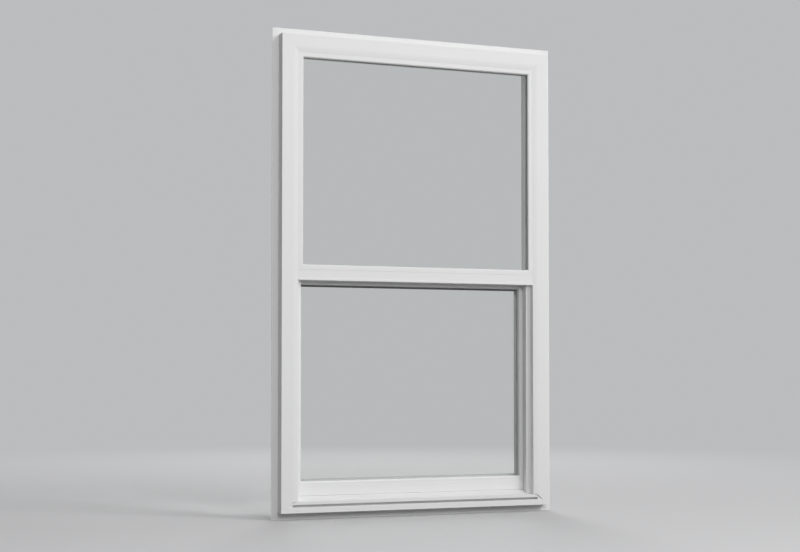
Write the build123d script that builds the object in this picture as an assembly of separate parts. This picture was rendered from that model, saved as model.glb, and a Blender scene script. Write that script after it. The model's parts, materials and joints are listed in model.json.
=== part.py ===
"""Single hung window of welded white vinyl, 30 by 48 inches nominal, with a set-back mounting fin.

X runs to the right seen from outdoors, -Y points outdoors and Z points up.
The origin is the middle of the sill fin's back face, the face that lies against the wall.
Sections are drawn from an inset from the frame's edge, or a height above its foot,
and from a depth measured indoors from the front face. A third number is the corner's radius.
"""
import os

from build123d import *

# Frame outside
FRAME_WIDTH = 749.3
FRAME_HEIGHT = 1206.5
FRAME_DEPTH = 71.5
FIN_REACH = 17.4
FIN_THICK = 1.8
FIN_BACK = 29.4

# Extruded vinyl
WALL = 2.0
EDGE = 0.8

# Head and jamb section
FACE_WIDTH = 32.0
LIP_INSET = 44.5
LIP_DROP = 2.0
LAND_RADIUS = 50.0
SEAT_DEPTH = 18.5
STOP_INSET = 57.0
TRACK_INSET = 44.0
POCKET_INSET = 15.0
POCKET_WIDTH = 20.0
POCKET_LAND = 8.5
POCKET_LIP = 3.5

# Sill section
NOSE_HEIGHT = 14.7
GROOVE_DEPTH = 14.0
GROOVE_INSET = 31.0
LEDGE_LOW = 20.8
LEDGE_HIGH = 28.5
LEDGE_RISE = 1.0
SASH_SEAT = 39.7
DAM_HEIGHT = 51.0
DAM_THICK = 2.8
WELD_INSET = 34.3
NOTCH_WIDTH = 2.4

# Fixed meeting rail
RAIL_DROP = 0.4
RAIL_LOW = 584.5
RAIL_SEAT = 611.2
RAIL_LIP_HEIGHT = 5.0
RAIL_LIP_PROUD = 1.0

# Insulated glass units
PANE = 3.0
UNIT_THICK = 12.7
SPACER_WIDTH = 6.0
UNIT_CLEAR = 0.3

# Glazing bead of the fixed upper light
BEAD_WIDTH = 13.0
BEAD_DROP = 0.2
BEAD_LEG = 3.0
BEAD_SLOPE = 2.2

# Sliding lower sash
SASH_THICK = 29.0
SASH_SIDE_CLEAR = 1.2
SASH_FOOT_CLEAR = 0.3
SASH_DAM_CLEAR = 1.2
SASH_DROP = 11.0
STILE_FACE = 10.8
BOTTOM_RAIL_FACE = 26.0
SASH_SIGHT_TOP = 575.3
SASH_LEG_WIDTH = 14.0
SASH_LEG_THICK = 3.8
LIFT_THICK = 3.0
LIFT_REACH = 8.0
LIFT_TURN = 2.5
LIFT_DROP = 5.0

# Glazing bead of the sash
SASH_BEAD_WIDTH = 10.0
SASH_BEAD_DROP = 1.0
SASH_BEAD_LEG = 3.0
SASH_BEAD_SLOPE = 3.5

# Weatherstrips between the sash and the frame
SEAL_SPACE = 3.8
SEAL_WIDTH = 5.0
SEAL_CLEAR = 0.3
SEAL_INSET = 50.0
RAIL_SEAL_RISE = 16.3

# Sash lock and keeper
LOCK_LENGTH = 64.0
LOCK_WIDTH = 22.0
LOCK_BASE = 4.5
LOCK_EDGE = 1.0
HUB_RADIUS = 9.5
HUB_HEIGHT = 3.5
LEVER_LENGTH = 40.0
LEVER_TIP_RADIUS = 4.0
LEVER_THICK = 4.5
CAM_WIDTH = 12.0
CAM_THICK = 2.0
CAM_RISE = 0.8
CAM_CLEAR = 0.5
KEEPER_LENGTH = 46.0
KEEPER_HEIGHT = 12.0
KEEPER_THICK = 2.5

# Tilt latches
LATCH_LENGTH = 62.0
LATCH_WIDTH = 14.0
LATCH_HEIGHT = 4.0
LATCH_EDGE = 1.0
BOLT_REACH = 8.0
BOLT_WIDTH = 9.0
GRIP_LENGTH = 8.0
GRIP_HEIGHT = 3.0

# Spiral balances in the jamb pockets
TUBE_RADIUS = 4.5
TUBE_TOP = 890.0
TUBE_LENGTH = 480.0
ROD_RADIUS = 2.2
LUG_HEIGHT = 18.0
SHOE_LOW = 52.0
SHOE_HEIGHT = 38.0
SHOE_CLEAR = 0.5

# Derived places
HALF_WIDTH = FRAME_WIDTH / 2
FOOT = FIN_REACH / 2
FIN_FRONT = FIN_BACK - FIN_THICK
GLASS_FRONT = SEAT_DEPTH - UNIT_THICK
BEAD_FRONT = LIP_DROP + BEAD_DROP
RAIL_FRONT = LIP_DROP + RAIL_DROP
POCKET_BACK = FRAME_DEPTH - POCKET_LAND
POCKET_FRONT = POCKET_BACK - POCKET_WIDTH
POCKET_MIDDLE = (POCKET_FRONT + POCKET_BACK) / 2
DAM_FRONT = FRAME_DEPTH - DAM_THICK
SASH_BACK = DAM_FRONT - SASH_DAM_CLEAR
SASH_FRONT = SASH_BACK - SASH_THICK
SASH_MIDDLE = (SASH_FRONT + SASH_BACK) / 2
STOP_BACK = SASH_FRONT - SEAL_SPACE
RAIL_TOP = RAIL_SEAT + STOP_INSET - LIP_INSET
SASH_TOP = RAIL_TOP - SASH_DROP
SASH_EDGE = TRACK_INSET + SASH_SIDE_CLEAR
SASH_FOOT = SASH_SEAT + SASH_FOOT_CLEAR
SASH_BEAD_FRONT = SASH_FRONT + SASH_BEAD_DROP
SASH_GLASS_BACK = SASH_BACK - SASH_LEG_THICK
SASH_GLASS_FRONT = SASH_GLASS_BACK - UNIT_THICK
SIDES = ("bottom", "right", "top", "left")


# Shared shapes
def depth(value):
    """Y of a depth measured indoors from the frame's front face."""
    return value - FIN_BACK


def height(value):
    """Z of a height measured from the frame's foot."""
    return value + FOOT


def profile(section, chambers, place):
    """Face of a section less its chambers, with each corner put in space by place."""
    face = None
    for corners in (section, *chambers):
        radii = [corner[2] if len(corner) > 2 else 0 for corner in corners]
        line = FilletPolyline(*[place(*corner[:2]) for corner in corners], radius=radii, close=True)
        face = make_face(line) if face is None else face - make_face(line)
    return face


def upright(section, low, high, chambers=()):
    """Extrude an (inset, depth) section of the left side upwards."""
    face = profile(section, chambers, lambda inset, v: (inset - HALF_WIDTH, depth(v), height(low)))
    return extrude(face, high - low, dir=(0, 0, 1))


def crosswise(section, left, right, chambers=()):
    """Extrude a (depth, height) section from left to right."""
    face = profile(section, chambers, lambda v, h: (left, depth(v), height(h)))
    return extrude(face, right - left, dir=(1, 0, 0))


def through(outline, front, back):
    """Extrude an (x, height) outline from one depth to another."""
    face = profile(outline, (), lambda x, h: (x, depth(front), height(h)))
    return extrude(face, back - front, dir=(0, 1, 0))


def block(x0, x1, v0, v1, h0, h1):
    """A box between two x places, two depths and two heights."""
    return through([(x0, h0), (x1, h0), (x1, h1), (x0, h1)], v0, v1)


def rectangle(inset, low, high):
    """Corners of an upright rectangle, from lower left round to upper left."""
    x = HALF_WIDTH - inset
    return [(-x, low), (x, low), (x, high), (-x, high)]


def grown(corners, amount):
    """The same rectangle with each side moved outwards."""
    (left, low), _, (right, high), _ = corners
    return [
        (left - amount, low - amount),
        (right + amount, low - amount),
        (right + amount, high + amount),
        (left - amount, high + amount),
    ]


def mitre_zone(rectangles, side, front, back):
    """The share of one side in a ring of four, cut along the corners of nested rectangles."""
    first = SIDES.index(side)
    second = (first + 1) % len(SIDES)
    outward = [corners[first] for corners in rectangles]
    inward = [corners[second] for corners in reversed(rectangles)]
    return through(outward + inward, front, back)


def side_bar(section, wall, side, chambers=()):
    """A straight bar along one side of a rectangle, from (distance inside it, depth) corners."""
    (left, low), _, (right, high), _ = wall
    over = 2 * FRAME_WIDTH
    if side in ("bottom", "top"):
        edge, turn = (low, 1) if side == "bottom" else (high, -1)
        lying = [[(v, edge + turn * a, *radius) for a, v, *radius in part] for part in (section, *chambers)]
        return crosswise(lying[0], -over, over, lying[1:])
    inset = left + HALF_WIDTH
    standing = [[(inset + a, v, *radius) for a, v, *radius in part] for part in (section, *chambers)]
    bar = upright(standing[0], low - over, high + over, standing[1:])
    return bar if side == "left" else mirror(bar, about=Plane.YZ)


# Welded main frame
def jamb_section():
    """Body of the head and jamb extrusion as (inset, depth) corners."""
    mouth_front = POCKET_FRONT + POCKET_LIP
    mouth_back = POCKET_BACK - POCKET_LIP
    lip_back = TRACK_INSET - WALL
    return [
        (0, 0, EDGE),
        (FACE_WIDTH, 0, LAND_RADIUS),
        (LIP_INSET, LIP_DROP, EDGE),
        (LIP_INSET, SEAT_DEPTH),
        (STOP_INSET, SEAT_DEPTH, EDGE),
        (STOP_INSET, STOP_BACK, EDGE),
        (TRACK_INSET, STOP_BACK),
        (TRACK_INSET, mouth_front),
        (lip_back, mouth_front),
        (lip_back, POCKET_FRONT),
        (POCKET_INSET, POCKET_FRONT),
        (POCKET_INSET, POCKET_BACK),
        (lip_back, POCKET_BACK),
        (lip_back, mouth_back),
        (TRACK_INSET, mouth_back),
        (TRACK_INSET, FRAME_DEPTH, EDGE),
        (0, FRAME_DEPTH, EDGE),
    ]


def jamb_chambers():
    """Hollows of the head and jamb extrusion: face, parting stop, pocket back and indoor edge."""
    face = [
        (WALL, WALL),
        (FACE_WIDTH, WALL),
        (LIP_INSET - WALL, LIP_DROP + WALL),
        (LIP_INSET - WALL, SEAT_DEPTH),
        (WALL, SEAT_DEPTH),
    ]
    stop = [
        (WALL, SEAT_DEPTH + WALL),
        (STOP_INSET - WALL, SEAT_DEPTH + WALL),
        (STOP_INSET - WALL, STOP_BACK - WALL),
        (TRACK_INSET - WALL, STOP_BACK - WALL),
        (TRACK_INSET - WALL, POCKET_FRONT - WALL),
        (WALL, POCKET_FRONT - WALL),
    ]
    pocket_back = [
        (WALL, POCKET_FRONT),
        (POCKET_INSET - WALL, POCKET_FRONT),
        (POCKET_INSET - WALL, POCKET_BACK),
        (WALL, POCKET_BACK),
    ]
    indoor = [
        (WALL, POCKET_BACK + WALL),
        (TRACK_INSET - WALL, POCKET_BACK + WALL),
        (TRACK_INSET - WALL, FRAME_DEPTH - WALL),
        (WALL, FRAME_DEPTH - WALL),
    ]
    return [face, stop, pocket_back, indoor]


def fin_section():
    """Mounting fin as (inset, depth) corners."""
    return [(-FIN_REACH, FIN_FRONT), (0, FIN_FRONT), (0, FIN_BACK), (-FIN_REACH, FIN_BACK)]


def sill_section():
    """Sill extrusion as (depth, height) corners, from the nose up over the slope to the dam."""
    return [
        (0, 0, EDGE),
        (0, NOSE_HEIGHT, EDGE),
        (LIP_DROP, NOSE_HEIGHT),
        (LIP_DROP, LEDGE_HIGH, EDGE),
        (SEAT_DEPTH, LEDGE_HIGH + LEDGE_RISE),
        (SASH_FRONT, SASH_SEAT),
        (DAM_FRONT, SASH_SEAT),
        (DAM_FRONT, DAM_HEIGHT, EDGE),
        (FRAME_DEPTH, DAM_HEIGHT, EDGE),
        (FRAME_DEPTH, 0, EDGE),
        (FIN_BACK, 0),
        (FIN_BACK, -FIN_REACH),
        (FIN_FRONT, -FIN_REACH),
        (FIN_FRONT, 0),
    ]


def sill_chambers():
    """Hollows of the sill: nose, slope and sash seat."""
    nose = [
        (WALL, WALL),
        (WALL, NOSE_HEIGHT - WALL),
        (SASH_FRONT, NOSE_HEIGHT - WALL),
        (SASH_FRONT, WALL),
    ]
    slope = [
        (GROOVE_DEPTH + WALL, NOSE_HEIGHT),
        (GROOVE_DEPTH + WALL, LEDGE_HIGH - WALL),
        (SEAT_DEPTH, LEDGE_HIGH + LEDGE_RISE - WALL),
        (SASH_FRONT, SASH_SEAT - WALL),
        (SASH_FRONT, NOSE_HEIGHT),
    ]
    seat = [
        (SASH_FRONT + WALL, WALL),
        (SASH_FRONT + WALL, SASH_SEAT - WALL),
        (FRAME_DEPTH - WALL, SASH_SEAT - WALL),
        (FRAME_DEPTH - WALL, WALL),
    ]
    return [nose, slope, seat]


def main_frame():
    """Head, jambs and sill, mitred at the head and welded on a slant at the sill."""
    frame_edge = rectangle(0, 0, FRAME_HEIGHT)
    fin_edge = grown(frame_edge, FIN_REACH)
    stop_edge = grown(frame_edge, -STOP_INSET)
    ledge_edge = rectangle(WELD_INSET, LEDGE_HIGH, FRAME_HEIGHT)
    track_edge = rectangle(TRACK_INSET, LEDGE_HIGH * TRACK_INSET / WELD_INSET, FRAME_HEIGHT)
    lip_x = HALF_WIDTH - LIP_INSET
    track_x = HALF_WIDTH - TRACK_INSET
    groove_x = HALF_WIDTH - GROOVE_INSET
    span = HALF_WIDTH + FIN_REACH

    def head_part(section):
        return [(v, FRAME_HEIGHT - inset, *radius) for inset, v, *radius in section]

    head_zone = mitre_zone([fin_edge, frame_edge, stop_edge], "top", 0, FRAME_DEPTH)
    head = crosswise(head_part(jamb_section()), -span, span, [head_part(part) for part in jamb_chambers()])
    head += crosswise(head_part(fin_section()), -span, span)
    head &= head_zone

    weld_zone = mitre_zone([fin_edge, frame_edge, ledge_edge], "bottom", 0, FIN_BACK)
    weld_zone += mitre_zone([frame_edge, track_edge], "bottom", FIN_BACK, FRAME_DEPTH)
    slope_zone = block(-lip_x, lip_x, 0, FIN_BACK, LEDGE_HIGH, SASH_SEAT)
    dam_zone = block(-track_x, track_x, FIN_BACK, FRAME_DEPTH, LEDGE_HIGH, DAM_HEIGHT)
    sill_zone = weld_zone + slope_zone + dam_zone
    sill = crosswise(sill_section(), -span, span, sill_chambers()) & sill_zone
    sill -= block(-groove_x, groove_x, 0, GROOVE_DEPTH, NOSE_HEIGHT, LEDGE_LOW)
    weld_x = HALF_WIDTH - WELD_INSET
    nose_x = HALF_WIDTH - WELD_INSET * NOSE_HEIGHT / LEDGE_HIGH
    notch = [(nose_x, NOSE_HEIGHT), (weld_x, LEDGE_HIGH), (weld_x - NOTCH_WIDTH, LEDGE_HIGH)]
    right_notch = through(notch, 0, GROOVE_DEPTH)
    sill -= right_notch + mirror(right_notch, about=Plane.YZ)
    sill_mass = crosswise(sill_section(), -span, span) & sill_zone

    jamb = upright(jamb_section(), 0, FRAME_HEIGHT, jamb_chambers())
    jamb += upright(fin_section(), -FIN_REACH, FRAME_HEIGHT + FIN_REACH)
    left_jamb = jamb - head_zone - weld_zone - sill_mass
    return {
        "frame_head": head,
        "frame_sill": sill,
        "frame_left_jamb": left_jamb,
        "frame_right_jamb": mirror(left_jamb, about=Plane.YZ),
    }


def meeting_rail():
    """Fixed rail between the jambs, notched round their parting stops."""
    section = [
        (RAIL_FRONT - RAIL_LIP_PROUD, RAIL_LOW, EDGE),
        (RAIL_FRONT - RAIL_LIP_PROUD, RAIL_LOW + RAIL_LIP_HEIGHT),
        (RAIL_FRONT, RAIL_LOW + RAIL_LIP_HEIGHT + RAIL_LIP_PROUD),
        (RAIL_FRONT, RAIL_SEAT, EDGE),
        (SEAT_DEPTH, RAIL_SEAT),
        (SEAT_DEPTH, RAIL_TOP, EDGE),
        (STOP_BACK, RAIL_TOP, EDGE),
        (STOP_BACK, RAIL_LOW, EDGE),
    ]
    body = [
        (RAIL_FRONT + WALL, RAIL_LOW + WALL),
        (RAIL_FRONT + WALL, RAIL_SEAT - WALL),
        (STOP_BACK - WALL, RAIL_SEAT - WALL),
        (STOP_BACK - WALL, RAIL_LOW + WALL),
    ]
    leg = [
        (SEAT_DEPTH + WALL, RAIL_SEAT),
        (SEAT_DEPTH + WALL, RAIL_TOP - WALL),
        (STOP_BACK - WALL, RAIL_TOP - WALL),
        (STOP_BACK - WALL, RAIL_SEAT),
    ]
    lip_x = HALF_WIDTH - LIP_INSET
    stop_x = HALF_WIDTH - STOP_INSET
    between_lips = block(-lip_x, lip_x, 0, SEAT_DEPTH, RAIL_LOW, RAIL_TOP)
    between_stops = block(-stop_x, stop_x, SEAT_DEPTH, STOP_BACK, RAIL_LOW, RAIL_TOP)
    return crosswise(section, -lip_x, lip_x, [body, leg]) & (between_lips + between_stops)


# Glazing
def bead_ring(name, section, wall, width, places):
    """Four mitred beads inside a rebate, named by their places at the bottom, right, top and left."""
    rings = [wall, grown(wall, -width)]
    front = min(v for _, v, *_ in section)
    back = max(v for _, v, *_ in section)
    return {
        name + place: side_bar(section, wall, side) & mitre_zone(rings, side, front, back)
        for side, place in zip(SIDES, places)
    }


def glass_unit(name, edge, front):
    """Two panes held apart by a spacer along their edges."""
    gap_front = front + PANE
    back = front + UNIT_THICK
    gap_back = back - PANE
    spacer = through(edge, gap_front, gap_back) - through(grown(edge, -SPACER_WIDTH), gap_front, gap_back)
    return {
        name + "_glass_outer": through(edge, front, gap_front),
        name + "_glass_inner": through(edge, gap_back, back),
        name + "_glass_spacer": spacer,
    }


def upper_light():
    """Fixed glass unit and its beads, in the rebate of head, jambs and meeting rail."""
    wall = rectangle(LIP_INSET, RAIL_SEAT, FRAME_HEIGHT - LIP_INSET)
    section = [
        (0, BEAD_FRONT),
        (BEAD_WIDTH - BEAD_SLOPE, BEAD_FRONT, EDGE),
        (BEAD_WIDTH, BEAD_FRONT + BEAD_SLOPE, EDGE),
        (BEAD_WIDTH, GLASS_FRONT),
        (BEAD_LEG, GLASS_FRONT),
        (BEAD_LEG, SEAT_DEPTH),
        (0, SEAT_DEPTH),
    ]
    pieces = bead_ring("upper_bead_", section, wall, BEAD_WIDTH, ("rail", "right", "head", "left"))
    pieces.update(glass_unit("upper", grown(wall, -BEAD_LEG - UNIT_CLEAR), GLASS_FRONT))
    return pieces


# Sliding lower sash
def sash_section(face):
    """Sash extrusion as (distance inside the rebate wall, depth) corners."""
    return [
        (-face, SASH_FRONT, EDGE),
        (0, SASH_FRONT, EDGE),
        (0, SASH_GLASS_BACK),
        (SASH_LEG_WIDTH, SASH_GLASS_BACK),
        (SASH_LEG_WIDTH, SASH_BACK, EDGE),
        (-face, SASH_BACK, EDGE),
    ]


def sash_chamber(face):
    """Hollow of the sash extrusion."""
    return [
        (WALL - face, SASH_FRONT + WALL),
        (-WALL, SASH_FRONT + WALL),
        (-WALL, SASH_BACK - WALL),
        (WALL - face, SASH_BACK - WALL),
    ]


def lift_section():
    """Finger lift along the indoor side of the bottom rail, turned up at its edge."""
    top = SASH_LEG_WIDTH - LIFT_DROP
    tip = SASH_BACK + LIFT_REACH
    return [
        (top - LIFT_THICK, SASH_BACK),
        (top - LIFT_THICK, tip, EDGE),
        (top + LIFT_TURN, tip, EDGE),
        (top + LIFT_TURN, tip - LIFT_TURN, EDGE),
        (top, tip - LIFT_TURN),
        (top, SASH_BACK),
    ]


def lower_sash():
    """Mitred rails and stiles, their glass unit and its beads."""
    outer = rectangle(SASH_EDGE, SASH_FOOT, SASH_TOP)
    wall_low = SASH_FOOT + BOTTOM_RAIL_FACE
    wall_high = SASH_SIGHT_TOP + SASH_BEAD_WIDTH
    wall = rectangle(SASH_EDGE + STILE_FACE, wall_low, wall_high)
    rings = [outer, wall, grown(wall, -SASH_LEG_WIDTH)]
    names = ("sash_bottom_rail", "sash_right_stile", "sash_top_rail", "sash_left_stile")
    faces = (BOTTOM_RAIL_FACE, STILE_FACE, SASH_TOP - wall_high, STILE_FACE)
    pieces = {}
    for side, name, face in zip(SIDES, names, faces):
        bar = side_bar(sash_section(face), wall, side, [sash_chamber(face)])
        if side == "bottom":
            bar += side_bar(lift_section(), wall, side)
        pieces[name] = bar & mitre_zone(rings, side, SASH_FRONT, SASH_BACK + LIFT_REACH)

    section = [
        (0, SASH_BEAD_FRONT),
        (SASH_BEAD_WIDTH - SASH_BEAD_SLOPE, SASH_BEAD_FRONT, EDGE),
        (SASH_BEAD_WIDTH, SASH_BEAD_FRONT + SASH_BEAD_SLOPE, EDGE),
        (SASH_BEAD_WIDTH, SASH_GLASS_FRONT),
        (SASH_BEAD_LEG, SASH_GLASS_FRONT),
        (SASH_BEAD_LEG, SASH_GLASS_BACK),
        (0, SASH_GLASS_BACK),
    ]
    places = ("bottom", "right", "top", "left")
    pieces.update(bead_ring("sash_bead_", section, wall, SASH_BEAD_WIDTH, places))
    pieces.update(glass_unit("sash", grown(wall, -SASH_BEAD_LEG - UNIT_CLEAR), SASH_GLASS_FRONT))
    return pieces


# Weatherstrips
def weatherstrips():
    """Pile strips on the parting stops and on the back of the meeting rail."""
    back = SASH_FRONT - SEAL_CLEAR
    strip = [
        (SEAL_INSET, STOP_BACK),
        (SEAL_INSET + SEAL_WIDTH, STOP_BACK),
        (SEAL_INSET + SEAL_WIDTH, back),
        (SEAL_INSET, back),
    ]
    rail_low = RAIL_LOW + RAIL_SEAL_RISE
    left = upright(strip, SASH_SEAT, rail_low)
    end = HALF_WIDTH - STOP_INSET
    rail = block(-end, end, STOP_BACK, back, rail_low, rail_low + SEAL_WIDTH)
    return {
        "left_weatherstrip": left,
        "right_weatherstrip": mirror(left, about=Plane.YZ),
        "meeting_rail_weatherstrip": rail,
    }


# Hardware
def softened(shape, radius):
    """Round the upper edges of a casting."""
    return fillet(shape.faces().sort_by(Axis.Z)[-1].edges(), radius)


def sash_lock():
    """Lock on the sash's top rail with lever and tongue, and the keeper behind the meeting rail."""
    middle = Pos(0, depth(SASH_MIDDLE), height(SASH_TOP))
    base = softened(extrude(middle * SlotOverall(LOCK_LENGTH, LOCK_WIDTH), LOCK_BASE), LOCK_EDGE)
    base += extrude(middle * Pos(0, 0, LOCK_BASE) * Circle(HUB_RADIUS), HUB_HEIGHT)
    cam_low = SASH_TOP + CAM_RISE
    cam_high = cam_low + CAM_THICK
    cam_x = CAM_WIDTH / 2
    base += block(-cam_x, cam_x, STOP_BACK + CAM_CLEAR, SASH_MIDDLE, cam_low, cam_high)

    over_hub = middle * Pos(0, 0, LOCK_BASE + HUB_HEIGHT)
    ends = Circle(HUB_RADIUS).edges() + (Pos(LEVER_LENGTH, 0) * Circle(LEVER_TIP_RADIUS)).edges()
    lever = softened(extrude(over_hub * make_hull(ends), LEVER_THICK), LOCK_EDGE)

    keeper_x = KEEPER_LENGTH / 2
    keeper_low = (cam_low + cam_high - KEEPER_HEIGHT) / 2
    keeper_back = STOP_BACK + KEEPER_THICK
    slot_x = cam_x + CAM_CLEAR
    keeper = block(-keeper_x, keeper_x, STOP_BACK, keeper_back, keeper_low, keeper_low + KEEPER_HEIGHT)
    keeper = fillet(keeper.edges().filter_by(Axis.Y), LOCK_EDGE)
    keeper -= block(-slot_x, slot_x, STOP_BACK, keeper_back, cam_low - CAM_CLEAR, cam_high + CAM_CLEAR)
    return {"lock_base": base, "lock_lever": lever, "lock_keeper": keeper}


def tilt_latch():
    """Left tilt latch: a housing on the top rail, a thumb grip and a bolt into the jamb pocket."""
    start = SASH_EDGE - HALF_WIDTH
    front = POCKET_MIDDLE - LATCH_WIDTH / 2
    top = SASH_TOP + LATCH_HEIGHT
    bolt_front = POCKET_MIDDLE - BOLT_WIDTH / 2
    bolt_back = POCKET_MIDDLE + BOLT_WIDTH / 2
    latch = block(start, start + LATCH_LENGTH, front, front + LATCH_WIDTH, SASH_TOP, top)
    latch = softened(latch, LATCH_EDGE)
    latch += block(start - BOLT_REACH, start, bolt_front, bolt_back, SASH_TOP, top - LATCH_EDGE)
    grip = start + (LATCH_LENGTH - GRIP_LENGTH) / 2
    latch += block(grip, grip + GRIP_LENGTH, bolt_front, bolt_back, top, top + GRIP_HEIGHT)
    return latch


def balance():
    """Left spiral balance: lug screwed to the jamb, tube, rod and the shoe that carries the sash."""
    back = POCKET_INSET - HALF_WIDTH
    mouth = TRACK_INSET - WALL - SHOE_CLEAR - HALF_WIDTH
    x = (back + mouth) / 2
    y = depth(POCKET_MIDDLE)
    tube_low = TUBE_TOP - TUBE_LENGTH
    shoe_top = SHOE_LOW + SHOE_HEIGHT
    tube = extrude(Pos(x, y, height(tube_low)) * Circle(TUBE_RADIUS), TUBE_LENGTH)
    rod = extrude(Pos(x, y, height(shoe_top)) * Circle(ROD_RADIUS), tube_low - shoe_top)
    lug = block(back, x + TUBE_RADIUS, POCKET_MIDDLE - TUBE_RADIUS, POCKET_MIDDLE + TUBE_RADIUS,
                TUBE_TOP, TUBE_TOP + LUG_HEIGHT)
    shoe = block(back + SHOE_CLEAR, mouth, POCKET_FRONT + SHOE_CLEAR, POCKET_BACK - SHOE_CLEAR,
                 SHOE_LOW, shoe_top)
    return tube + rod + lug + shoe


def hardware():
    """Sash lock with its keeper, two tilt latches and two balances."""
    pieces = sash_lock()
    for name, piece in (("tilt_latch", tilt_latch()), ("balance", balance())):
        pieces["left_" + name] = piece
        pieces["right_" + name] = mirror(piece, about=Plane.YZ)
    return pieces


def window():
    """Every piece of the window by name."""
    return {
        **main_frame(),
        "meeting_rail": meeting_rail(),
        **upper_light(),
        **lower_sash(),
        **weatherstrips(),
        **hardware(),
    }


os.makedirs("parts", exist_ok=True)
for node, shape in window().items():
    export_step(shape, f"parts/{node}.step")
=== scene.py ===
"""Looks of a white vinyl single hung window: finishes, pile strips, glazing seals and screws."""
import json
import math
import random

import bmesh
import bpy
from mathutils import Matrix, Vector

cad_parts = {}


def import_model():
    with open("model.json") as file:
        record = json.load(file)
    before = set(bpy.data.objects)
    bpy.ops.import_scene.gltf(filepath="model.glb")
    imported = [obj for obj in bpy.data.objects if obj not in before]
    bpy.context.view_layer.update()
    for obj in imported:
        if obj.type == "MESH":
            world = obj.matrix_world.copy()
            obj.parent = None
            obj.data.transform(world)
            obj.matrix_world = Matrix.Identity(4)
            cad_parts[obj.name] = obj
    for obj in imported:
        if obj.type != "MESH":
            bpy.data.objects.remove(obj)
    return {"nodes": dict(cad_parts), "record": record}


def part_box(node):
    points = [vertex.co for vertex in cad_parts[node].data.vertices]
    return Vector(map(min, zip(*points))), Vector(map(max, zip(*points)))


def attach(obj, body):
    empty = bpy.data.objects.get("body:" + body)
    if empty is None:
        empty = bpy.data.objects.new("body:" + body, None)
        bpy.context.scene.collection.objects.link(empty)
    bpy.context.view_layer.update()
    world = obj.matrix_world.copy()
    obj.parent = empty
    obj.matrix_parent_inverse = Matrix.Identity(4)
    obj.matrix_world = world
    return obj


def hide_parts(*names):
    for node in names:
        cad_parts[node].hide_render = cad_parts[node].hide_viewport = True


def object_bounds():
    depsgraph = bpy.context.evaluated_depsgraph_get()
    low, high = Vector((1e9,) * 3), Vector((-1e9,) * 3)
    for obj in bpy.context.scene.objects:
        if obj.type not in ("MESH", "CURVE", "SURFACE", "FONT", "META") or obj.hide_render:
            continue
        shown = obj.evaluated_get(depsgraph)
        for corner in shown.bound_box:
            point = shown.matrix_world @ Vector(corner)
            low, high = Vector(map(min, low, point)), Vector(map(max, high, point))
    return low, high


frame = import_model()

CAD_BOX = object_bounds()
MM = 0.001
BODY = "root"

# Camera: place in metres, turns in degrees, lens in millimetres
CAMERA_PLACE = (-1.6319, -3.8259, 0.3643)
CAMERA_YAW = -22.561
CAMERA_PITCH = 2.115
CAMERA_LENS = 71.9
CAMERA_SHIFT_UP = 0.045

# Soft light from all round, with a colour for the left and one for the right
AMBIENT_OUTDOORS = ((0.24, 0.24, 0.245), (0.43, 0.43, 0.435))
AMBIENT_INDOORS = ((0.30, 0.30, 0.305), (0.50, 0.50, 0.505))
LEFT_TO_RIGHT = (-0.5, 0.5)
OUTDOORS_TO_INDOORS = (-0.1, 0.4)
BACKDROP = (0.50, 0.505, 0.515)

# Floor, with the distances between which it fades
FLOOR_SEEN = (0.64, 0.64, 0.645)
FLOOR_BOUNCE = (0.30, 0.30, 0.30)
FLOOR_ROUGHNESS = 0.7
FLOOR_SPECULAR = 0.1
FLOOR_RADIUS = 60.0
FLOOR_SIDES = 96
FLOOR_FADE = (0.6, 4.0)

# Lamps
LAMP_AIM = (0.0, 0.0, 0.65)
LAMPS = {
    "key": {"place": (3.5, -4.7, 4.0), "size": 3.4, "watts": 200.0, "mirrored": True},
    "fill": {"place": (-0.45, -3.6, 1.7), "size": 1.2, "watts": 41.0, "mirrored": False},
    "indoor": {"place": (1.8, 4.6, 1.9), "size": 2.0, "watts": 122.0, "mirrored": False},
}

# Noise, and the middle span that its values mostly keep to
NOISE_DETAIL = 2.0
NOISE_SPAN = (0.3, 0.7)
UNSTRETCHED = (1.0, 1.0, 1.0)

# Extruded vinyl: marks in features to a metre, relief as depth and strength
VINYL_WHITE = (0.83, 0.83, 0.825)
VINYL_SHADE = (0.80, 0.80, 0.80)
VINYL_CLOUD = 5.0
VINYL_GRAIN = 2600.0
DIE_LINES = 900.0
DIE_LINE_STRETCH = 0.004
VINYL_ROUGHNESS = (0.48, 0.60)
VINYL_SPECULAR = 0.3
VINYL_RELIEF = (0.03 * MM, 0.35)
EDGE_ROUND = 0.6 * MM

# Float glass: waves in features to a metre, relief as depth and strength
GLASS_TINT = (0.975, 0.985, 0.978)
GLASS_IOR = 1.5
GLASS_WAVES = 6.0
GLASS_RELIEF = (0.4 * MM, 0.03)

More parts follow.
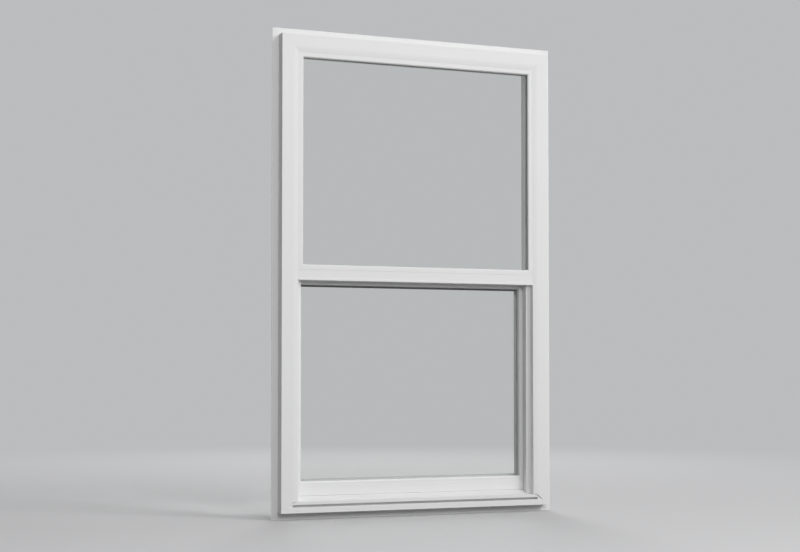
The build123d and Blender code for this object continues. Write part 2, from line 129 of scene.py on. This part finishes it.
# Plain finishes: two tones, mottle and grain in features to a metre, relief as depth and strength
LOCK_WHITE = (0.80, 0.80, 0.79)
MOULDED = {
    "tones": (VINYL_WHITE, LOCK_WHITE), "mottle": 40.0, "grain": 1800.0,
    "roughness": (0.45, 0.60), "relief": (0.06 * MM, 0.35),
}
PLAIN_FINISHES = {
    "lock_paint": {
        "tones": (LOCK_WHITE, VINYL_SHADE), "mottle": 60.0, "grain": 700.0,
        "roughness": (0.34, 0.46), "relief": (0.06 * MM, 0.30),
    },
    "latch_plastic": MOULDED,
    "balance_plastic": MOULDED,
    "spacer_grey": {
        "tones": ((0.60, 0.60, 0.60), (0.51, 0.51, 0.51)), "mottle": 1200.0, "grain": 1200.0,
        "roughness": (0.50, 0.65), "relief": (0.03 * MM, 0.40), "stretch": (0.05, 1.0, 0.05),
    },
    "glazing_seal": {
        "tones": ((0.52, 0.52, 0.53), (0.468, 0.468, 0.477)), "mottle": 30.0, "grain": 1500.0,
        "roughness": (0.50, 0.65), "relief": (0.03 * MM, 0.30),
    },
    "plated_steel": {
        "tones": ((0.62, 0.61, 0.59), (0.496, 0.488, 0.472)), "mottle": 2000.0, "grain": 2000.0,
        "roughness": (0.28, 0.42), "relief": (0.02 * MM, 0.30), "extra": {"Metallic": 1.0},
    },
    "woven_pile": {
        "tones": ((0.30, 0.30, 0.31), (0.18, 0.18, 0.186)), "mottle": 2500.0, "grain": 2500.0,
        "roughness": (0.80, 0.95), "relief": (0.1 * MM, 0.50), "extra": {"Sheen Weight": 0.3},
    },
}

# Pile strips
BACKING = 0.9 * MM
TUFT_PITCH = 1.1 * MM
TUFT_ROWS = 4
TUFT_WIDTH = 0.9 * MM
TUFT_LEAN = 0.35 * MM

# Glazing seals
LIP = 0.9 * MM
LIP_STEPS = 4
SASH_LEG = 14.0 * MM

# Screws, with the head and its cross recess as shares of the head's radius
LOCK_SCREW = 3.2 * MM
KEEPER_SCREW = 2.0 * MM
LUG_SCREW = 3.0 * MM
HEAD_SIDES = 32
HEAD_STEPS = 5
HEAD_RIM = 0.10
HEAD_RISE = 0.45
HEAD_FLAT = 0.62
CROSS_REACH = 0.46
CROSS_HALF = 0.11
CROSS_DEPTH = 0.35

# Places on the hardware
HUB_HEIGHT = 3.5 * MM
LOCK_END_RADIUS = 11.0 * MM
KEEPER_SCREW_INSET = 7.5 * MM
LUG_HALF_HEIGHT = 9.0 * MM
TUBE_RADIUS = 4.5 * MM

# Sockets of the colour mix node
MIX_FACTOR = 0
MIX_ONE = 6
MIX_TWO = 7
MIX_COLOUR = 2


# Node tools
def new_material(name):
    """An empty node material and its tree."""
    material = bpy.data.materials.new(name)
    material.use_nodes = True
    material.node_tree.nodes.clear()
    return material, material.node_tree


def add(tree, kind, inputs=None, **settings):
    """A node with settings, and with its inputs set to values or linked to sockets."""
    node = tree.nodes.new(kind)
    for key, value in settings.items():
        setattr(node, key, value)
    for key, value in (inputs or {}).items():
        if isinstance(value, bpy.types.NodeSocket):
            tree.links.new(value, node.inputs[key])
        else:
            node.inputs[key].default_value = value
    return node


def output(tree, shader):
    """Send a shader to the surface."""
    add(tree, "ShaderNodeOutputMaterial", {"Surface": shader})


def opaque(colour):
    """A constant colour with full alpha, or a socket as it is."""
    return colour if isinstance(colour, bpy.types.NodeSocket) else (*colour, 1.0)


def combined(tree, operation, one, two):
    """Two numbers put together by a math node."""
    return add(tree, "ShaderNodeMath", {0: one, 1: two}, operation=operation).outputs[0]


def noise(tree, scale, stretch=UNSTRETCHED):
    """Noise in the object's own metres, with scale as features to a metre."""
    place = add(tree, "ShaderNodeTexCoord").outputs["Object"]
    mapped = add(tree, "ShaderNodeMapping", {"Vector": place, "Scale": stretch}).outputs["Vector"]
    inputs = {"Vector": mapped, "Scale": scale, "Detail": NOISE_DETAIL}
    return add(tree, "ShaderNodeTexNoise", inputs).outputs["Fac"]


def ranged(tree, value, span, ends=(0.0, 1.0), **settings):
    """A number that runs between two ends while the value runs over a span."""
    inputs = {"Value": value, "From Min": span[0], "From Max": span[1]}
    inputs.update({"To Min": ends[0], "To Max": ends[1]})
    return add(tree, "ShaderNodeMapRange", inputs, **settings).outputs["Result"]


def tinted(tree, factor, one, two):
    """A colour between two, each a constant or a socket."""
    inputs = {MIX_FACTOR: factor, MIX_ONE: opaque(one), MIX_TWO: opaque(two)}
    return add(tree, "ShaderNodeMix", inputs, data_type="RGBA").outputs[MIX_COLOUR]


def bumped(tree, height, relief, edge=0.0):
    """A surface normal from a height and its relief, over edges rounded by a radius."""
    inputs = {"Height": height, "Distance": relief[0], "Strength": relief[1]}
    if edge:
        inputs["Normal"] = add(tree, "ShaderNodeBevel", {"Radius": edge}).outputs[0]
    return add(tree, "ShaderNodeBump", inputs).outputs[0]


def seen_rays(tree):
    """One for rays that look at the background, straight, by mirror or through glass."""
    path = add(tree, "ShaderNodeLightPath").outputs
    seen = path["Is Camera Ray"]
    for ray in ("Is Glossy Ray", "Is Transmission Ray"):
        seen = combined(tree, "MAXIMUM", seen, path[ray])
    return seen


# Finishes
def vinyl(name, along):
    """Satin extruded vinyl, with faint die lines along the extrusion."""
    material, tree = new_material(name)
    stretch = [DIE_LINE_STRETCH if axis == along else 1.0 for axis in "XYZ"]
    lines = noise(tree, DIE_LINES, stretch)
    height = combined(tree, "ADD", lines, noise(tree, VINYL_GRAIN))
    shader = add(tree, "ShaderNodeBsdfPrincipled", {
        "Base Color": tinted(tree, noise(tree, VINYL_CLOUD), VINYL_WHITE, VINYL_SHADE),
        "Roughness": ranged(tree, lines, NOISE_SPAN, VINYL_ROUGHNESS),
        "Normal": bumped(tree, height, VINYL_RELIEF, EDGE_ROUND),
        "Specular IOR Level": VINYL_SPECULAR,
    })
    output(tree, shader.outputs[0])
    return material


def float_glass():
    """Clear float glass, slightly uneven, that lets lamp light through."""
    material, tree = new_material("float_glass")
    glass = add(tree, "ShaderNodeBsdfPrincipled", {
        "Base Color": opaque(GLASS_TINT),
        "Roughness": 0.0,
        "IOR": GLASS_IOR,
        "Transmission Weight": 1.0,
        "Normal": bumped(tree, noise(tree, GLASS_WAVES), GLASS_RELIEF),
    })
    clear = add(tree, "ShaderNodeBsdfTransparent", {"Color": opaque(GLASS_TINT)})
    shadow = add(tree, "ShaderNodeLightPath").outputs["Is Shadow Ray"]
    mix = add(tree, "ShaderNodeMixShader", {0: shadow, 1: glass.outputs[0], 2: clear.outputs[0]})
    output(tree, mix.outputs[0])
    return material


def plain(name):
    """A plain finish in two tones, with a fine grain."""
    facts = PLAIN_FINISHES[name]
    material, tree = new_material(name)
    stretch = facts.get("stretch", UNSTRETCHED)
    mottle = noise(tree, facts["mottle"], stretch)
    grain = noise(tree, facts["grain"], stretch)
    shader = add(tree, "ShaderNodeBsdfPrincipled", {
        "Base Color": tinted(tree, mottle, *facts["tones"]),
        "Roughness": ranged(tree, grain, NOISE_SPAN, facts["roughness"]),
        "Normal": bumped(tree, grain, facts["relief"]),
        **facts.get("extra", {}),
    })
    output(tree, shader.outputs[0])
    return material


def dress_nodes():
    """Give every solid its finish."""
    upright = vinyl("vinyl_upright", "Z")
    level = vinyl("vinyl_level", "X")
    finishes = {
        "glass": float_glass(),
        "spacer": plain("spacer_grey"),
        "weatherstrip": plain("woven_pile"),
        "lock_metal": plain("lock_paint"),
        "latch_plastic": plain("latch_plastic"),
        "balance": plain("balance_plastic"),
    }
    for row in frame["record"]["subparts"]:
        name = row["node"]
        side = any(word in name for word in ("left", "right"))
        material = finishes.get(row["material_slot"], upright if side else level)
        mesh = frame["nodes"][name].data
        mesh.materials.clear()
        mesh.materials.append(material)
    return finishes


# Meshes
def piece(name, mesh, material):
    """Link a bmesh as a piece of the window."""
    data = bpy.data.meshes.new(name)
    mesh.to_mesh(data)
    mesh.free()
    data.materials.append(material)
    made = bpy.data.objects.new(name, data)
    bpy.context.scene.collection.objects.link(made)
    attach(made, BODY)
    return made


def box_into(mesh, low, high):
    """Add a closed box between two corners."""
    size = high - low
    place = Matrix.Translation((low + high) / 2) @ Matrix.Diagonal((*size, 1.0))
    bmesh.ops.create_cube(mesh, size=1.0, matrix=place)


def tuft_into(mesh, base, tip, half, along):
    """Add one tapered tuft as a closed four-sided spike."""
    across = Vector((0, 1, 0)).cross(along)
    ways = ((1, 1), (-1, 1), (-1, -1), (1, -1))
    corners = [base + half * (a * along + b * across) for a, b in ways]
    ring = [mesh.verts.new(corner) for corner in corners]
    point = mesh.verts.new(tip)
    for index in range(4):
        mesh.faces.new((ring[index], ring[(index + 1) % 4], point))
    mesh.faces.new(ring[::-1])


def pile_strip(node, material):
    """A woven backing with rows of tufts that stand towards the sash."""
    low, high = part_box(node)
    along = Vector((1, 0, 0)) if high.x - low.x > high.z - low.z else Vector((0, 0, 1))
    across = Vector((1, 0, 1)) - along
    mesh = bmesh.new()
    box_into(mesh, low, Vector((high.x, low.y + BACKING, high.z)))
    chance = random.Random(node)
    length = (high - low).dot(along)
    width = (high - low).dot(across)
    count = int(length / TUFT_PITCH)
    for step in range(count):
        line = low + along * (step + 0.5) * length / count
        for row in range(TUFT_ROWS):
            start = line + across * (row + 0.5) * width / TUFT_ROWS
            base = Vector((start.x, low.y + BACKING, start.z))
            lean = along * chance.uniform(-1, 1) + across * chance.uniform(-1, 1)
            reach = high.y - chance.uniform(0, 1) * TUFT_LEAN
            tip = Vector((start.x, reach, start.z)) + TUFT_LEAN * lean
            tuft_into(mesh, base, tip, TUFT_WIDTH / 2, along)
    strip = piece(node + "_pile", mesh, material)
    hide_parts(node)


def glazing_seal(name, sight, face, away, material):
    """A soft quarter-round lip on the glass, round an opening given by its low and high corners."""
    low, high = sight
    turns = [math.pi / 2 * step / LIP_STEPS for step in range(LIP_STEPS + 1)]
    section = [(0.0, 0.0)] + [(LIP * math.cos(turn), LIP * math.sin(turn)) for turn in turns]
    mesh = bmesh.new()
    rings = []
    for inset, rise in section:
        left, right = low.x + inset, high.x - inset
        foot, top = low.z + inset, high.z - inset
        corners = ((left, foot), (right, foot), (right, top), (left, top))
        rings.append([mesh.verts.new((x, face + away * rise, z)) for x, z in corners])
    for ring, following in zip(rings, rings[1:] + rings[:1]):
        for index in range(4):
            after = (index + 1) % 4
            mesh.faces.new((ring[index], ring[after], following[after], following[index]))
    bmesh.ops.recalc_face_normals(mesh, faces=mesh.faces)
    piece(name, mesh, material)


def glazing_seals(material):
    """Lips on both faces of the two glass units."""
    for light, bottom, top in (("upper", "upper_bead_rail", "upper_bead_head"),
                               ("sash", "sash_bead_bottom", "sash_bead_top")):
        low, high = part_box(bottom)[0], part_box(top)[1]
        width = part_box(top)[1].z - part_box(top)[0].z
        inset = Vector((width, 0, width))
        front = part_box(light + "_glass_outer")[0].y
        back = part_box(light + "_glass_inner")[1].y
        glazing_seal(light + "_outer_seal", (low + inset, high - inset), front, -1, material)
        if light == "sash":
            inset = Vector((SASH_LEG, 0, SASH_LEG))
        glazing_seal(light + "_inner_seal", (low + inset, high - inset), back, 1, material)


def screw_into(mesh, place, axis, radius):
    """Add a pan head with a cross recess that stands on a face along axis."""
    turn = Vector((0, 0, 1)).rotation_difference(Vector(axis)).to_matrix().to_4x4()
    space = Matrix.Translation(place) @ turn @ Matrix.Scale(radius, 4)

    def loop(points, rise):
        """Corners at one height over the face."""
        return [mesh.verts.new(space @ Vector((x, y, rise))) for x, y in points]

    def wall(lower, upper):
        """Faces between two loops."""
        count = len(lower)
        for index in range(count):
            after = (index + 1) % count
            mesh.faces.new((lower[index], lower[after], upper[after], upper[index]))

    angles = [2 * math.pi * index / HEAD_SIDES for index in range(HEAD_SIDES)]
    circle = [Vector((math.cos(angle), math.sin(angle))) for angle in angles]
    rings = [loop(circle, 0.0)]
    for step in range(HEAD_STEPS + 1):
        lean = math.pi / 2 * step / HEAD_STEPS
        reach = HEAD_FLAT + (1 - HEAD_FLAT) * math.cos(lean)
        rise = HEAD_RIM + HEAD_RISE * math.sin(lean)
        rings.append(loop([reach * point for point in circle], rise))
    for lower, upper in zip(rings, rings[1:]):
        wall(lower, upper)
    mesh.faces.new(rings[0][::-1])

    arm = [(CROSS_REACH, -CROSS_HALF), (CROSS_REACH, CROSS_HALF), (CROSS_HALF, CROSS_HALF)]
    quarters = [Matrix.Rotation(math.pi / 2 * quarter, 2) for quarter in range(4)]
    cross = [quarter @ Vector(point) for quarter in quarters for point in arm]
    head_top = HEAD_RIM + HEAD_RISE
    brim = loop(cross, head_top)
    well = loop(cross, head_top - CROSS_DEPTH)
    wall(brim, well)
    mesh.faces.new(well)
    edges = [mesh.edges.get((verts[index - 1], verts[index]))
             for verts in (rings[-1], brim) for index in range(len(verts))]
    bmesh.ops.triangle_fill(mesh, use_beauty=True, edges=edges)


def screws(material):
    """Screws of the lock's base, its keeper and the balance lugs."""
    lock = bmesh.new()
    low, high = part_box("lock_base")
    for x in (low.x + LOCK_END_RADIUS, high.x - LOCK_END_RADIUS):
        place = (x, high.y - LOCK_END_RADIUS, high.z - HUB_HEIGHT)
        screw_into(lock, place, (0, 0, 1), LOCK_SCREW)
    keeper = bmesh.new()
    low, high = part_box("lock_keeper")
    for x in (low.x + KEEPER_SCREW_INSET, high.x - KEEPER_SCREW_INSET):
        screw_into(keeper, (x, high.y, (low.z + high.z) / 2), (0, 1, 0), KEEPER_SCREW)
    meshes = {"lock_screws": (lock, "lock_metal"), "keeper_screws": (keeper, "lock_metal")}
    for side, inwards in (("left", 1), ("right", -1)):
        lug = bmesh.new()
        low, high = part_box(side + "_balance")
        middle = (low + high) / 2
        place = (middle.x + inwards * TUBE_RADIUS, middle.y, high.z - LUG_HALF_HEIGHT)
        screw_into(lug, place, (inwards, 0, 0), LUG_SCREW)
        meshes[side + "_lug_screw"] = (lug, "balance")
    for name, (mesh, slot) in meshes.items():
        bmesh.ops.recalc_face_normals(mesh, faces=mesh.faces)
        piece(name, mesh, material)


# Stage
def floor():
    """A plain pale floor under the fin's lower edge, which fades into the backdrop far off."""
    material, tree = new_material("stage_floor")
    seen = seen_rays(tree)
    place = add(tree, "ShaderNodeTexCoord").outputs["Object"]
    far = add(tree, "ShaderNodeVectorMath", {0: place}, operation="LENGTH").outputs["Value"]
    fade = ranged(tree, far, FLOOR_FADE, interpolation_type="SMOOTHSTEP")
    share = combined(tree, "MULTIPLY", fade, seen)
    near = add(tree, "ShaderNodeBsdfPrincipled", {
        "Base Color": tinted(tree, seen, FLOOR_BOUNCE, FLOOR_SEEN),
        "Roughness": FLOOR_ROUGHNESS,
        "Specular IOR Level": FLOOR_SPECULAR,
    })
    distant = add(tree, "ShaderNodeEmission", {"Color": opaque(BACKDROP)})
    mix = add(tree, "ShaderNodeMixShader", {0: share, 1: near.outputs[0], 2: distant.outputs[0]})
    output(tree, mix.outputs[0])
    bpy.ops.mesh.primitive_circle_add(vertices=FLOOR_SIDES, radius=FLOOR_RADIUS, fill_type="NGON",
                                      location=(0, 0, CAD_BOX[0].z))
    ground = bpy.context.object
    ground.name = "stage_floor"
    ground.data.materials.append(material)


def world():
    """Soft light, stronger from the right, with a pale backdrop where it is seen."""
    studio = bpy.data.worlds.new("studio")
    bpy.context.scene.world = studio
    studio.use_nodes = True
    tree = studio.node_tree
    tree.nodes.clear()
    way = add(tree, "ShaderNodeTexCoord").outputs["Generated"]
    parts = add(tree, "ShaderNodeSeparateXYZ", {0: way}).outputs
    rightness = ranged(tree, parts["X"], LEFT_TO_RIGHT)
    depth = ranged(tree, parts["Y"], OUTDOORS_TO_INDOORS)
    sides = [tinted(tree, rightness, *ends) for ends in (AMBIENT_OUTDOORS, AMBIENT_INDOORS)]
    ambient = tinted(tree, depth, *sides)
    colour = tinted(tree, seen_rays(tree), ambient, BACKDROP)
    light = add(tree, "ShaderNodeBackground", {"Color": colour})
    add(tree, "ShaderNodeOutputWorld", {"Surface": light.outputs[0]})


def lamps():
    """A large soft key from the upper right, a fill from the front and one lamp indoors."""
    for name, facts in LAMPS.items():
        lamp = bpy.data.lights.new(name, "AREA")
        lamp.shape = "DISK"
        lamp.size = facts["size"]
        lamp.energy = facts["watts"]
        made = bpy.data.objects.new(name, lamp)
        made.location = facts["place"]
        aim = Vector(LAMP_AIM) - Vector(facts["place"])
        made.rotation_euler = aim.to_track_quat("-Z", "Y").to_euler()
        made.visible_camera = False
        made.visible_transmission = False
        made.visible_glossy = facts["mirrored"]
        bpy.context.scene.collection.objects.link(made)


def camera():
    """The photograph's view."""
    data = bpy.data.cameras.new("camera")
    data.lens = CAMERA_LENS
    data.shift_y = CAMERA_SHIFT_UP
    made = bpy.data.objects.new("camera", data)
    made.location = CAMERA_PLACE
    made.rotation_euler = (math.radians(90 + CAMERA_PITCH), 0, math.radians(CAMERA_YAW))
    bpy.context.scene.collection.objects.link(made)
    bpy.context.scene.camera = made


bpy.context.scene.view_settings.view_transform = "Standard"
finishes = dress_nodes()
for strip_node in ("left_weatherstrip", "right_weatherstrip", "meeting_rail_weatherstrip"):
    pile_strip(strip_node, finishes["weatherstrip"])
glazing_seals(plain("glazing_seal"))
screws(plain("plated_steel"))
floor()
world()
lamps()
camera()
